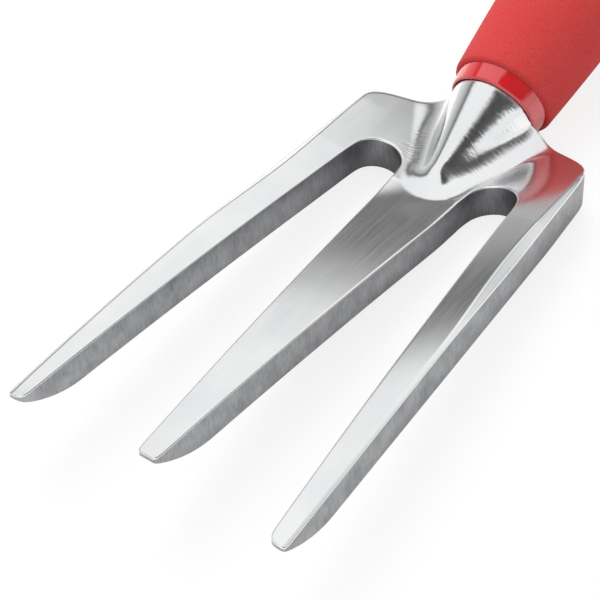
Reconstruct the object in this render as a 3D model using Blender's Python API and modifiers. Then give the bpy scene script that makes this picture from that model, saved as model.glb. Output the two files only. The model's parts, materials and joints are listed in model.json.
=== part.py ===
"""Hand fork: a cast aluminium three-tine head on a foam-sleeved plastic handle.

The fork lies on the heel of its head and the front of its grip, with the head's dished face up.
X is across the tines, Y runs from the tine tips towards the handle, Z is up. The pieces are placed
in the head's own frame, with y = 0 on the root line of the tines, and then leaned back together.
"""

import math

import bmesh
import bpy
from mathutils import Matrix, Vector

MM = 0.001

# Head seen from above: distances from the centre line, root line at y = 0
SIDE_TINE_LENGTH = 109.5 * MM
CENTRE_TINE_LENGTH = 106.6 * MM
OUTER_EDGE_ROOT = 35.1 * MM
OUTER_EDGE_TIP = 39.7 * MM
OUTER_EDGE_BOW = 0.5 * MM
INNER_EDGE_ROOT = 24.5 * MM
INNER_EDGE_TIP = 35.2 * MM
CENTRE_EDGE_ROOT = 10.2 * MM
CENTRE_EDGE_TIP = 2.7 * MM
CENTRE_EDGE_BOW = -0.1 * MM
SLOT_ROOT_REACH = 10.5 * MM
SHOULDER_EDGE = 34.0 * MM
SHOULDER_CORNER_REACH = 20.0 * MM
SHOULDER_BACK_EDGE = 32.8 * MM
SHOULDER_BACK_REACH = 25.2 * MM
BACK_EDGE_MIDDLE = 24.0 * MM
BACK_EDGE_REACH = 29.0 * MM
ARMPIT_EDGE = 17.2 * MM
ARMPIT_REACH = 32.8 * MM

# Head seen from the side: heights from the inner top edges of the side tines at the root line
ROOT_THICKNESS = 9.3 * MM
WEB_THICKNESS = 8.8 * MM
TIP_THICKNESS = 8.0 * MM
TIP_DROOP = 4.8 * MM
CENTRE_SINK_ROOT = 3.5 * MM
CENTRE_RISE_TIP = 0.6 * MM
OUTER_LIFT_ROOT = 2.1 * MM
OUTER_LIFT_TIP = -0.3 * MM
DISH_SHARPNESS = 1.0
PROW_LENGTH = 17.0 * MM
TIP_EDGE = 1.5 * MM
EDGE_ROUND = 0.9 * MM
SHOULDER_UNDERCUT = 0.5

# Ground facet along the outer top edge of each side tine
FACET_WIDTH = 3.0 * MM
FACET_LEAST_WIDTH = 0.9 * MM
FACET_MIDDLE = -13.0 * MM
FACET_HALF_SPAN = 36.0 * MM
FACET_FALL = 0.55
FACET_MOST_SHARE = 0.45
FACET_EDGE_SHARPNESS = 0.5

# Neck: a cone that grows out of the web and enters the collar
HANDLE_PITCH = math.radians(19.0)
LIP_CENTRE_REACH = 32.6 * MM
LIP_CENTRE_HEIGHT = 2.2 * MM
NECK_RADIUS = 11.6 * MM
NECK_FOOT_BACK = 1.5 * MM
CONE_APEX_REACH = 3.0 * MM
CONE_APEX_HALF_WIDTH = 2.5 * MM
CONE_FLANK = 0.31
CONE_FLANK_HEIGHT = 0.72
UNDERSIDE_SAG = 0.4 * MM

# Tang and its cross pin, hidden in the handle
TANG_RADIUS = 5.5 * MM
TANG_LENGTH = 56.0 * MM
TANG_CHAMFER = 1.5 * MM
PIN_RADIUS = 2.0 * MM
PIN_FROM_TANG_END = 22.4 * MM

# Handle core, measured along the handle from the lip
LIP_WALL = 0.7 * MM
LIP_ROUND = 0.6 * MM
COLLAR_LENGTH = 4.8 * MM
COLLAR_FLARE = 0.7 * MM
COLLAR_SEAT = 2.4 * MM
SOCKET_DEPTH = 4.4 * MM
CORE_RADIUS = 10.4 * MM
GRIP_LENGTH = 113.0 * MM

# Foam sleeve
GRIP_FRONT_RADIUS = 14.4 * MM
GRIP_BELLY_RADIUS = 17.4 * MM
GRIP_BELLY_FROM_LIP = 58.0 * MM
GRIP_REAR_RADIUS = 15.8 * MM
GRIP_RIM_ROUND = 1.4 * MM

# End cap with its hanging tab
CAP_FLANGE = 4.0 * MM
CAP_RADIUS = 15.2 * MM
CAP_ROUND = 2.2 * MM
SPIGOT_RADIUS = 6.8 * MM
SPIGOT_LENGTH = 16.0 * MM
TAB_HALF_WIDTH = 11.0 * MM
TAB_THICKNESS = 6.0 * MM
TAB_REACH = 12.0 * MM
TAB_EDGE_ROUND = 1.2 * MM
HANG_HOLE_RADIUS = 5.0 * MM

# Fits
FIT = 0.3 * MM
OVERLAP = 2.0 * MM

# Mesh density and cage layout
CENTRE_COLUMNS = (("M", 0.0), ("K", 0.35), ("B", 0.7), ("A", 1.0))
TINE_STATIONS = (1.0, 0.965, 0.9, 0.79, 0.55, 0.28, 0.05)
SLOT_STEPS = 6
WEB_RING_SPREAD = 1.55
WEB_RING_REACH = 2.0
RING_POINTS = 14
TURN_STEPS = 40
PIN_SEGMENTS = 24
GRIP_STEPS = 12
TAB_STEPS = 16
CAST_LEVELS = 1
LEAN_STEPS = 24
SHARP_ANGLE = math.radians(35)
WELD = 0.02 * MM
ROUND_MIDDLE = 1 - math.sqrt(0.5)

COLLECTION_NAME = "hand_fork"
CUTTER_COLLECTION_NAME = "hand_fork_cutters"


def blend(first, last, share):
    return first + (last - first) * share


def clear_scene():
    for item in list(bpy.data.objects):
        bpy.data.objects.remove(item, do_unlink=True)


def new_collection(name):
    collection = bpy.data.collections.new(name)
    bpy.context.scene.collection.children.link(collection)
    return collection


def make_material(name, colour, roughness, metallic):
    material = bpy.data.materials.new(name)
    material.use_nodes = True
    shader = material.node_tree.nodes["Principled BSDF"]
    shader.inputs["Base Color"].default_value = (*colour, 1.0)
    shader.inputs["Roughness"].default_value = roughness
    shader.inputs["Metallic"].default_value = metallic
    return material


def add_object(name, mesh, collection, material=None):
    item = bpy.data.objects.new(name, mesh)
    collection.objects.link(item)
    if material:
        mesh.materials.append(material)
    return item


def make_helper(item):
    item.hide_render = True
    item.display_type = "WIRE"


def add_boolean(item, other, operation):
    modifier = item.modifiers.new(f"{operation.lower()}_{other.name}", "BOOLEAN")
    modifier.object = other
    modifier.operation = operation
    modifier.solver = "EXACT"


def smooth(mesh):
    mesh.shade_smooth()
    mesh.set_sharp_from_angle(angle=SHARP_ANGLE)


def turned(name, profile, collection, material=None):
    """A shape turned about its own Z axis from (radius, height) points, listed so that it closes on itself."""
    mesh = bpy.data.meshes.new(name)
    build = bmesh.new()
    corners = [build.verts.new((radius, 0.0, height)) for radius, height in profile]
    on_axis = [radius == 0.0 for radius, _ in profile]
    for here, corner in enumerate(corners):
        after = (here + 1) % len(corners)
        if not (on_axis[here] and on_axis[after]):
            build.edges.new((corner, corners[after]))
    build.to_mesh(mesh)
    build.free()
    item = add_object(name, mesh, collection, material)
    screw = item.modifiers.new("turn", "SCREW")
    screw.axis = "Z"
    screw.steps = TURN_STEPS
    screw.render_steps = TURN_STEPS
    screw.use_merge_vertices = True
    screw.merge_threshold = WELD
    screw.use_smooth_shade = True
    return item


def cylinder(name, radius, length, collection, material=None):
    """A cylinder centred on its origin, along its own Z axis."""
    mesh = bpy.data.meshes.new(name)
    build = bmesh.new()
    bmesh.ops.create_cone(
        build, cap_ends=True, segments=PIN_SEGMENTS, radius1=radius, radius2=radius, depth=length
    )
    build.to_mesh(mesh)
    build.free()
    smooth(mesh)
    return add_object(name, mesh, collection, material)


# Curves of the cast head

def outer_edge(share):
    return blend(OUTER_EDGE_ROOT, OUTER_EDGE_TIP, share) + 4 * OUTER_EDGE_BOW * share * (1 - share)


def inner_edge(share):
    return blend(INNER_EDGE_ROOT, INNER_EDGE_TIP, share)


def centre_edge(share):
    return blend(CENTRE_EDGE_ROOT, CENTRE_EDGE_TIP, share) + 4 * CENTRE_EDGE_BOW * share * (1 - share)


def droop(share):
    return -TIP_DROOP * share * share


def thickness(share, length):
    """Depth of a tine: nearly even, then the underside curves up to the tip like a prow."""
    full = blend(ROOT_THICKNESS, TIP_THICKNESS, share * share)
    from_tip = (1 - share) * length
    if from_tip >= PROW_LENGTH:
        return full
    return blend(full, TIP_EDGE, (1 - from_tip / PROW_LENGTH) ** 2)


def facet_width(y):
    angle = (y - FACET_MIDDLE) / FACET_HALF_SPAN * math.pi / 2
    if abs(angle) >= math.pi / 2:
        return FACET_LEAST_WIDTH
    return blend(FACET_LEAST_WIDTH, FACET_WIDTH, math.cos(angle) ** 2)


def web_height(x):
    """Top of the dished web: low under the neck and rising to the shoulders."""
    share = (x - CENTRE_EDGE_ROOT) / (OUTER_EDGE_ROOT - CENTRE_EDGE_ROOT)
    share = min(max(share, 0.0), 1.0)
    return blend(-CENTRE_SINK_ROOT, OUTER_LIFT_ROOT, 1 - (1 - share) ** DISH_SHARPNESS)


def handle_direction():
    return Vector((0.0, math.cos(HANDLE_PITCH), math.sin(HANDLE_PITCH)))


def handle_point(along, side=0.0, rise=0.0):
    """A point given along the handle from the lip, to its side and above its axis."""
    across = Vector((0.0, -math.sin(HANDLE_PITCH), math.cos(HANDLE_PITCH)))
    lip = Vector((0.0, LIP_CENTRE_REACH, LIP_CENTRE_HEIGHT))
    return lip + along * handle_direction() + Vector((side, 0.0, 0.0)) + rise * across


def cone_height(y):
    """Crest of the neck cone above the centre line, from its apex on the web to the lip."""
    crest = handle_point(0.0, 0.0, NECK_RADIUS)
    share = (y - CONE_APEX_REACH) / (crest.y - CONE_APEX_REACH)
    return blend(-CENTRE_SINK_ROOT, crest.z, max(share, 0.0))


def ring_points(along, radius):
    """Half ring of cage points round the handle axis, from its top to its bottom.

    The subdivided surface lies inside its cage, so the cage is a little larger than the radius.
    """
    step = 2 * math.pi / RING_POINTS
    cage_radius = radius * 6 / (4 + 2 * math.cos(step))
    angles = [math.pi / 2 - step * number for number in range(RING_POINTS // 2 + 1)]
    return [
        handle_point(along, cage_radius * math.cos(angle), cage_radius * math.sin(angle))
        for angle in angles
    ]


def head_cage():
    """Top points, bottom points, top faces and outline of the right half of the head.

    Columns M, K, B and A run up the centre tine from its middle to its edge, I, H and O up the
    side tine from its inner edge over the facet line to its outer edge. A also runs round the slot.
    """
    top = {}
    bottom = {}

    def place(name, x, y, height, depth):
        top[name] = Vector((x, y, height))
        bottom[name] = Vector((x, y, height - depth))

    last = len(TINE_STATIONS)
    for row, share in enumerate(TINE_STATIONS):
        half = centre_edge(share)
        y = -share * CENTRE_TINE_LENGTH
        height = droop(share) + blend(-CENTRE_SINK_ROOT, CENTRE_RISE_TIP, share)
        depth = thickness(share, CENTRE_TINE_LENGTH)
        for column, part in CENTRE_COLUMNS:
            place(f"{column}{row}", half * part, y, height, depth)
        y = -share * SIDE_TINE_LENGTH
        depth = thickness(share, SIDE_TINE_LENGTH)
        inner = inner_edge(share)
        outer = outer_edge(share)
        facet = min(facet_width(y), FACET_MOST_SHARE * (outer - inner))
        fall = FACET_FALL * facet
        edge_lift = blend(OUTER_LIFT_ROOT, OUTER_LIFT_TIP, share)
        place(f"I{row}", inner, y, droop(share), depth)
        place(f"H{row}", outer - facet, y, droop(share) + edge_lift + fall, depth + edge_lift + fall)
        place(f"O{row}", outer, y, droop(share) + edge_lift, depth + edge_lift)

    # The slot's round root, from the centre tine round to the side tine
    slot_radius = (INNER_EDGE_ROOT - CENTRE_EDGE_ROOT) / 2
    slot_middle = (INNER_EDGE_ROOT + CENTRE_EDGE_ROOT) / 2
    slot_start = SLOT_ROOT_REACH - slot_radius
    for step in range(SLOT_STEPS + 1):
        angle = math.pi * (1 - step / SLOT_STEPS)
        x = slot_middle + slot_radius * math.cos(angle)
        y = slot_start + slot_radius * math.sin(angle)
        name = f"A{last + step}" if step < SLOT_STEPS else f"I{last}"
        place(name, x, y, web_height(x), WEB_THICKNESS if 0 < step < SLOT_STEPS else ROOT_THICKNESS)

    # The web round the slot, its back edge, the shoulder and its facet
    for step in range(SLOT_STEPS - 1):
        angle = math.pi * (1 - step / SLOT_STEPS)
        x = slot_middle + WEB_RING_SPREAD * slot_radius * math.cos(angle)
        y = slot_start + WEB_RING_REACH * slot_radius * math.sin(angle)
        place(f"B{last + step}", x, y, web_height(x), ROOT_THICKNESS)
    for name, x, y in (
        ("D1", SHOULDER_BACK_EDGE, SHOULDER_BACK_REACH),
        ("D2", BACK_EDGE_MIDDLE, BACK_EDGE_REACH),
        ("D3", ARMPIT_EDGE, ARMPIT_REACH),
    ):
        place(name, x, y, web_height(x), ROOT_THICKNESS)
    for row, y in ((last, slot_start), (last + 1, SLOT_ROOT_REACH)):
        outer = blend(SHOULDER_EDGE, OUTER_EDGE_ROOT, 1 - max(y, 0.0) / SHOULDER_CORNER_REACH)
        facet = facet_width(y)
        height = web_height(outer)
        fall = FACET_FALL * facet
        depth = ROOT_THICKNESS + SHOULDER_UNDERCUT * height
        place(f"H{row}", outer - facet, y, height + fall, depth + fall)
        place(f"O{row}", outer, y, height, depth)
    corner_height = web_height(SHOULDER_EDGE)
    corner_depth = ROOT_THICKNESS + SHOULDER_UNDERCUT * corner_height
    place("C", SHOULDER_EDGE, SHOULDER_CORNER_REACH, corner_height, corner_depth)

    # The cone's crest and flanks on the web
    valley = web_height(0.0)
    base = valley - ROOT_THICKNESS - UNDERSIDE_SAG
    for row in (last, last + 1, last + 2):
        y = top[f"B{row}"].y
        crest = cone_height(y)
        flank = CONE_APEX_HALF_WIDTH + CONE_FLANK * max(y - CONE_APEX_REACH, 0.0)
        flank_height = blend(valley, crest, CONE_FLANK_HEIGHT)
        place(f"M{row}", 0.0, y, crest, crest - base)
        place(f"K{row}", flank, y, flank_height, flank_height - base)

    faces = []

    def strip(left, right, rows):
        for row in rows:
            faces.append((f"{left}{row}", f"{right}{row}", f"{right}{row + 1}", f"{left}{row + 1}"))

    strip("M", "K", range(last + 2))
    strip("K", "B", range(last + 2))
    strip("B", "A", range(last + 4))
    strip("I", "H", range(last))
    strip("H", "O", range(last + 1))
    faces.append((f"B{last + 4}", f"A{last + 4}", f"A{last + 5}", f"H{last + 1}"))
    faces.append((f"I{last}", f"H{last}", f"H{last + 1}", f"A{last + 5}"))
    faces.append((f"H{last + 1}", f"O{last + 1}", "C"))
    faces.append((f"H{last + 1}", "C", "D1", f"B{last + 4}"))
    faces.append((f"B{last + 4}", "D1", "D2", f"B{last + 3}"))
    faces.append((f"B{last + 3}", "D2", "D3", f"B{last + 2}"))

    outline = ["M0", "K0", "B0", "A0"]
    outline += [f"A{row}" for row in range(1, last + SLOT_STEPS)]
    outline += [f"I{row}" for row in range(last, -1, -1)]
    outline += ["H0"]
    outline += [f"O{row}" for row in range(last + 2)]
    outline += ["C", "D1", "D2", "D3"]
    neck_row = [f"M{last + 2}", f"K{last + 2}", f"B{last + 2}", "D3"]
    return top, bottom, faces, outline, neck_row


def build_head_mesh():
    """Half of the head as a coarse cage, with bevel weights on its edges."""
    top, bottom, faces, outline, neck_row = head_cage()
    build = bmesh.new()
    upper = {name: build.verts.new(point) for name, point in top.items()}
    lower = {name: build.verts.new(point) for name, point in bottom.items()}
    for face in faces:
        build.faces.new([upper[name] for name in face])
        build.faces.new([lower[name] for name in reversed(face)])
    for here, after in zip(outline, outline[1:]):
        build.faces.new((upper[after], upper[here], lower[here], lower[after]))

    # The neck: from the web's half loop through three rings into the collar
    loop = [upper[name] for name in neck_row] + [lower[name] for name in reversed(neck_row)]
    for along in (-NECK_FOOT_BACK, 0.0, SOCKET_DEPTH - FIT):
        ring = [build.verts.new(point) for point in ring_points(along, NECK_RADIUS)]
        for number in range(len(ring) - 1):
            build.faces.new((loop[number], loop[number + 1], ring[number + 1], ring[number]))
        loop = ring
    build.faces.new(loop)

    weight = build.edges.layers.float.new("bevel_weight_edge")
    rim = [(upper[a], upper[b]) for a, b in zip(outline, outline[1:])]
    rim += [(lower[a], lower[b]) for a, b in zip(outline, outline[1:])]
    rim += [(upper[name], lower[name]) for name in ("A0", "I0", "O0")]
    rim += list(zip(loop, loop[1:]))
    for first, second in rim:
        build.edges.get((first, second))[weight] = 1.0
    last = len(TINE_STATIONS)
    for row in range(last + 1):
        build.edges.get((upper[f"H{row}"], upper[f"H{row + 1}"]))[weight] = FACET_EDGE_SHARPNESS
    bmesh.ops.recalc_face_normals(build, faces=build.faces)
    mesh = bpy.data.meshes.new("fork_head")
    build.to_mesh(mesh)
    build.free()
    mesh.shade_smooth()
    return mesh


def build_head(parts, cutters, material):
    head = add_object("fork_head", build_head_mesh(), parts, material)
    mirror = head.modifiers.new("two_halves", "MIRROR")
    mirror.use_axis = (True, False, False)
    mirror.merge_threshold = WELD
    edges = head.modifiers.new("cast_edges", "BEVEL")
    edges.limit_method = "WEIGHT"
    edges.width = EDGE_ROUND
    edges.segments = 1
    edges.use_clamp_overlap = True
    skin = head.modifiers.new("cast_skin", "SUBSURF")
    skin.levels = CAST_LEVELS
    skin.render_levels = CAST_LEVELS
    start = SOCKET_DEPTH - OVERLAP
    end = SOCKET_DEPTH + TANG_LENGTH
    tang = turned(
        "tang",
        [
            (0.0, end),
            (TANG_RADIUS - TANG_CHAMFER, end),
            (TANG_RADIUS, end - TANG_CHAMFER),
            (TANG_RADIUS, start),
            (0.0, start),
        ],
        cutters,
    )
    make_helper(tang)
    set_on_handle(tang)
    add_boolean(head, tang, "UNION")
    return head


def set_on_handle(item, along=0.0):
    """Puts the item's own Z axis on the handle axis, with its own Y axis downwards."""
    turn = Matrix.Rotation(HANDLE_PITCH - math.pi / 2, 4, "X")
    item.matrix_world = Matrix.Translation(handle_point(along)) @ turn


def set_across_tang(item):
    """Puts the item's own Z axis across the handle, where the pin goes through the tang."""
    along = SOCKET_DEPTH + TANG_LENGTH - PIN_FROM_TANG_END
    item.matrix_world = Matrix.Translation(handle_point(along)) @ Matrix.Rotation(math.pi / 2, 4, "Y")


def pin_cutter(cutters):
    cutter = cylinder("pin_hole", PIN_RADIUS + FIT, 2 * (CORE_RADIUS + OVERLAP), cutters)
    make_helper(cutter)
    set_across_tang(cutter)
    return cutter


def build_core(parts, material):
    """Plastic core: exposed collar with its lip, socket for the neck and tang, bore for the cap."""
    socket = NECK_RADIUS + FIT
    lip = socket + LIP_WALL
    seat = lip + COLLAR_FLARE
    bore = TANG_RADIUS + FIT
    rear = COLLAR_LENGTH + GRIP_LENGTH
    shoulder = COLLAR_LENGTH + COLLAR_SEAT
    tang_end = SOCKET_DEPTH + TANG_LENGTH + FIT
    spigot_end = rear - SPIGOT_LENGTH - FIT
    profile = [
        (0.0, spigot_end),
        (SPIGOT_RADIUS + FIT, spigot_end),
        (SPIGOT_RADIUS + FIT, rear),
        (CORE_RADIUS, rear),
        (CORE_RADIUS, shoulder),
        (seat - LIP_ROUND, shoulder),
        (seat, shoulder - LIP_ROUND),
        (seat, COLLAR_LENGTH),
        (lip, LIP_ROUND),
        (lip - ROUND_MIDDLE * LIP_ROUND, ROUND_MIDDLE * LIP_ROUND),
        (lip - LIP_ROUND, 0.0),
        (socket, 0.0),
        (socket, SOCKET_DEPTH),
        (bore, SOCKET_DEPTH),
        (bore, tang_end),
        (0.0, tang_end),
    ]
    core = turned("handle_core", profile, parts, material)
    set_on_handle(core)
    return core


def grip_radius(along):
    """Outer radius of the foam: swelling from the front rim to the belly, then easing to the rear."""
    if along <= GRIP_BELLY_FROM_LIP:
        share = (along - COLLAR_LENGTH) / (GRIP_BELLY_FROM_LIP - COLLAR_LENGTH)
        return blend(GRIP_FRONT_RADIUS, GRIP_BELLY_RADIUS, math.sin(share * math.pi / 2))
    rear = COLLAR_LENGTH + GRIP_LENGTH
    share = (along - GRIP_BELLY_FROM_LIP) / (rear - GRIP_BELLY_FROM_LIP)
    return blend(GRIP_BELLY_RADIUS, GRIP_REAR_RADIUS, share * share)


def build_grip(parts, material):
    front = COLLAR_LENGTH
    rear = COLLAR_LENGTH + GRIP_LENGTH
    seat = NECK_RADIUS + FIT + LIP_WALL + COLLAR_FLARE + FIT
    bore = CORE_RADIUS + FIT
    rim = ROUND_MIDDLE * GRIP_RIM_ROUND
    profile = [(bore, rear), (GRIP_REAR_RADIUS - GRIP_RIM_ROUND, rear)]
    profile.append((GRIP_REAR_RADIUS - rim, rear - rim))
    for step in range(GRIP_STEPS + 1):
        along = blend(rear - GRIP_RIM_ROUND, front + GRIP_RIM_ROUND, step / GRIP_STEPS)
        profile.append((grip_radius(along), along))
    profile.append((GRIP_FRONT_RADIUS - rim, front + rim))
    profile.append((max(GRIP_FRONT_RADIUS - GRIP_RIM_ROUND, seat), front))
    profile.append((seat, front))
    profile.append((seat, front + COLLAR_SEAT + FIT))
    profile.append((bore, front + COLLAR_SEAT + FIT))
    grip = turned("foam_grip", profile, parts, material)
    set_on_handle(grip)
    return grip


def build_cap(parts, cutters, material):
    """End cap: spigot in the core's bore, flange over the foam's end and a flat tab to hang it by."""
    face = COLLAR_LENGTH + GRIP_LENGTH + FIT
    back = face + CAP_FLANGE
    rim = ROUND_MIDDLE * CAP_ROUND
    profile = [
        (0.0, back),
        (CAP_RADIUS - CAP_ROUND, back),
        (CAP_RADIUS - rim, back - rim),
        (CAP_RADIUS, back - CAP_ROUND),
        (CAP_RADIUS, face),
        (SPIGOT_RADIUS, face),
        (SPIGOT_RADIUS, face - SPIGOT_LENGTH),
        (0.0, face - SPIGOT_LENGTH),
    ]
    cap = turned("end_cap", profile, parts, material)
    set_on_handle(cap)

    outline = bpy.data.curves.new("tab_outline", "CURVE")
    outline.dimensions = "2D"
    outline.fill_mode = "BOTH"
    outline.extrude = TAB_THICKNESS / 2 - TAB_EDGE_ROUND
    outline.bevel_depth = TAB_EDGE_ROUND
    outline.bevel_resolution = 1
    outline.offset = -TAB_EDGE_ROUND
    spline = outline.splines.new("POLY")
    points = [(TAB_HALF_WIDTH, -OVERLAP)]
    for step in range(TAB_STEPS + 1):
        angle = math.pi * step / TAB_STEPS
        points.append((TAB_HALF_WIDTH * math.cos(angle), TAB_REACH + TAB_HALF_WIDTH * math.sin(angle)))
    points.append((-TAB_HALF_WIDTH, -OVERLAP))
    spline.points.add(len(points) - 1)
    for point, (x, y) in zip(spline.points, points):
        point.co = (x, y, 0.0, 1.0)
    spline.use_cyclic_u = True
    guide = bpy.data.objects.new("tab_outline", outline)
    cutters.objects.link(guide)
    tab = add_object("hang_tab", mesh_from_curve(guide), cutters)
    bpy.data.objects.remove(guide, do_unlink=True)
    make_helper(tab)
    tab.matrix_world = Matrix.Translation(handle_point(back)) @ Matrix.Rotation(HANDLE_PITCH, 4, "X")
    add_boolean(cap, tab, "UNION")

    hole = cylinder("hang_hole", HANG_HOLE_RADIUS, TAB_THICKNESS + 2 * OVERLAP, cutters)
    make_helper(hole)
    hole.matrix_world = Matrix.Translation(handle_point(back + TAB_REACH)) @ Matrix.Rotation(
        HANDLE_PITCH, 4, "X"
    )
    add_boolean(cap, hole, "DIFFERENCE")
    return cap


def mesh_from_curve(guide):
    """The curve's solid as a mesh with its caps welded on."""
    graph = bpy.context.evaluated_depsgraph_get()
    mesh = bpy.data.meshes.new_from_object(guide.evaluated_get(graph))
    build = bmesh.new()
    build.from_mesh(mesh)
    bmesh.ops.remove_doubles(build, verts=build.verts, dist=WELD)
    bmesh.ops.recalc_face_normals(build, faces=build.faces)
    build.to_mesh(mesh)
    build.free()
    return mesh


def build_pin(parts, material):
    pin = cylinder("tang_pin", PIN_RADIUS, 2 * (CORE_RADIUS - FIT), parts, material)
    set_across_tang(pin)
    return pin


def lowest(turn, points):
    return min((turn @ point).z for point in points)


def place_at_rest(parts):
    """Place of the whole fork: it leans back until its head and its grip both lie on z = 0, and is centred there."""
    bpy.context.view_layer.update()
    graph = bpy.context.evaluated_depsgraph_get()
    head = []
    handle = []
    for item in parts.objects:
        evaluated = item.evaluated_get(graph)
        group = head if item.name == "fork_head" else handle
        group += [evaluated.matrix_world @ vertex.co for vertex in evaluated.data.vertices]

    least, most = 0.0, HANDLE_PITCH
    for _ in range(LEAN_STEPS):
        lean = (least + most) / 2
        turn = Matrix.Rotation(-lean, 4, "X")
        if lowest(turn, head) < lowest(turn, handle):
            least = lean
        else:
            most = lean
    corners = [turn @ point for point in head + handle]
    low = [min(corner[axis] for corner in corners) for axis in range(3)]
    high = [max(corner[axis] for corner in corners) for axis in range(3)]
    shift = Vector((-(low[0] + high[0]) / 2, -(low[1] + high[1]) / 2, -low[2]))
    return Matrix.Translation(shift) @ turn


def main():
    clear_scene()
    parts = new_collection(COLLECTION_NAME)
    cutters = new_collection(CUTTER_COLLECTION_NAME)
    aluminium = make_material("polished_aluminium", (0.80, 0.81, 0.82), 0.18, 1.0)
    gloss_red = make_material("gloss_red_plastic", (0.70, 0.02, 0.02), 0.15, 0.0)
    foam_red = make_material("red_foam", (0.72, 0.04, 0.04), 0.85, 0.0)
    steel = make_material("pin_steel", (0.55, 0.56, 0.58), 0.35, 1.0)

    head = build_head(parts, cutters, aluminium)
    core = build_core(parts, gloss_red)
    build_grip(parts, foam_red)
    build_cap(parts, cutters, gloss_red)
    build_pin(parts, steel)
    hole = pin_cutter(cutters)
    add_boolean(head, hole, "DIFFERENCE")
    add_boolean(core, hole, "DIFFERENCE")

    frame = bpy.data.objects.new(COLLECTION_NAME, None)
    bpy.context.scene.collection.objects.link(frame)
    place = place_at_rest(parts)
    for item in list(parts.objects) + list(cutters.objects):
        item.parent = frame
    frame.matrix_world = place


main()
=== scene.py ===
"""Looks of the hand fork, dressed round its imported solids.

X is across the tines, Y runs from the tine tips towards the handle and Z is up.
The head and the handle are worked out in the head's own frame, with y = 0 on the root line of the tines.
The whole fork leans back from there until it lies on its heel and the front of its grip.
"""

import json
import math

import bmesh
import bpy
from mathutils import Matrix, Vector


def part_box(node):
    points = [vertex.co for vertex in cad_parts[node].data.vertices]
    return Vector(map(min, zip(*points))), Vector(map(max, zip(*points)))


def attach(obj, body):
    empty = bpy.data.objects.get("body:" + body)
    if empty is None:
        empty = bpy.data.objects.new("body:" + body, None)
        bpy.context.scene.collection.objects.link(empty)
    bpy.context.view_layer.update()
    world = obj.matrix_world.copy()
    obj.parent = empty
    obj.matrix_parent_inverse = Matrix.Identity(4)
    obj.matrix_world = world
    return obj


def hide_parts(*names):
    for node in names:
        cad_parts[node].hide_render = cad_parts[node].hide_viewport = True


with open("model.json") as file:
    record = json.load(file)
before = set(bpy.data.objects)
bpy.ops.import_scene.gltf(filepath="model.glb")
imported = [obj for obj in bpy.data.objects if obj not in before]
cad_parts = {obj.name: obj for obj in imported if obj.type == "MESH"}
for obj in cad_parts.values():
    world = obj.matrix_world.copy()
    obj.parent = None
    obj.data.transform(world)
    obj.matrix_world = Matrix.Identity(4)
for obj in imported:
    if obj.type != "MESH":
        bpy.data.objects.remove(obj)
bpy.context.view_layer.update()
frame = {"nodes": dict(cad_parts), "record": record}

MM = 0.001

# Head seen from above: distances from the centre line, root line at y = 0
SIDE_TINE_LENGTH = 109.5 * MM
CENTRE_TINE_LENGTH = 106.6 * MM
OUTER_EDGE_ROOT = 35.1 * MM
OUTER_EDGE_TIP = 39.7 * MM
OUTER_EDGE_BOW = 0.5 * MM
INNER_EDGE_ROOT = 24.5 * MM
INNER_EDGE_TIP = 35.2 * MM
CENTRE_EDGE_ROOT = 10.2 * MM
CENTRE_EDGE_TIP = 2.7 * MM
CENTRE_EDGE_BOW = -0.1 * MM
SLOT_ROOT_REACH = 10.5 * MM
SHOULDER_EDGE = 34.0 * MM
SHOULDER_CORNER_REACH = 20.0 * MM
SHOULDER_BACK_EDGE = 32.8 * MM
SHOULDER_BACK_REACH = 25.2 * MM
BACK_EDGE_MIDDLE = 24.0 * MM
BACK_EDGE_REACH = 28.6 * MM
ARMPIT_EDGE = 17.2 * MM
ARMPIT_REACH = 31.0 * MM
ARMPIT_INNER_EDGE = 13.2 * MM
ARMPIT_INNER_REACH = 33.2 * MM
NECK_ROWS = (35.6 * MM, 46.6 * MM)

# Head seen from the side: heights from the inner top edges of the side tines at the root line
ROOT_THICKNESS = 9.3 * MM
TIP_THICKNESS = 8.0 * MM
TIP_DROOP = 4.8 * MM
CENTRE_SINK_ROOT = 3.5 * MM
CENTRE_RISE_TIP = 0.6 * MM
OUTER_LIFT_ROOT = 2.1 * MM
OUTER_LIFT_TIP = -0.3 * MM
DISH_BLEND = 1.6 * MM
DISH_START = -12.0 * MM
DISH_FULL = 3.0 * MM
HEEL_REACH = 12.0 * MM
PROW_LENGTH = 17.0 * MM
TIP_EDGE = 1.5 * MM
EDGE_ROUND = 0.4 * MM
EDGE_MOST_SHARE = 0.45
LEAST_EDGE = 2.0 * MM
SHOULDER_UNDERCUT = 0.5

# Ground facet along the outer top edge of each side tine
FACET_WIDTH = 2.4 * MM
FACET_LEAST_WIDTH = 0.9 * MM
FACET_MIDDLE = -13.0 * MM
FACET_HALF_SPAN = 36.0 * MM
FACET_FALL = 0.55
FACET_MOST_SHARE = 0.45
FACET_BLEND = 0.25 * MM

# Neck: a cone that grows out of the web and enters the collar
HANDLE_PITCH = math.radians(19.0)
LIP_CENTRE_REACH = 32.6 * MM
LIP_CENTRE_HEIGHT = 2.2 * MM
NECK_RADIUS = 11.6 * MM
NOSE_REACH = 7.6 * MM
NOSE_HEIGHT = -3.0 * MM
NOSE_RADIUS = 3.4 * MM
NOSE_FILLET = 3.5 * MM
CONE_FILLET = 4.0 * MM
LIP_FILLET = 4.5 * MM
FILLET_SPREAD = 1.2
FOOT_SLOPE_NOSE = 0.34
FOOT_SLOPE_CONE = 0.48
FOOT_SLOPE_CHANGE = 0.5
FOOT_REACH_NOSE = 5.8 * MM
FOOT_REACH_LIP = 8.2 * MM
FOOT_BLEND_NOSE = 0.4 * MM
FOOT_BLEND_LIP = 2.0 * MM
LEAST_FILLET = 0.2 * MM
LIP_FILLET_END = 2.0 * MM
TANG_RADIUS = 5.5 * MM
TANG_LENGTH = 56.0 * MM
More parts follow.
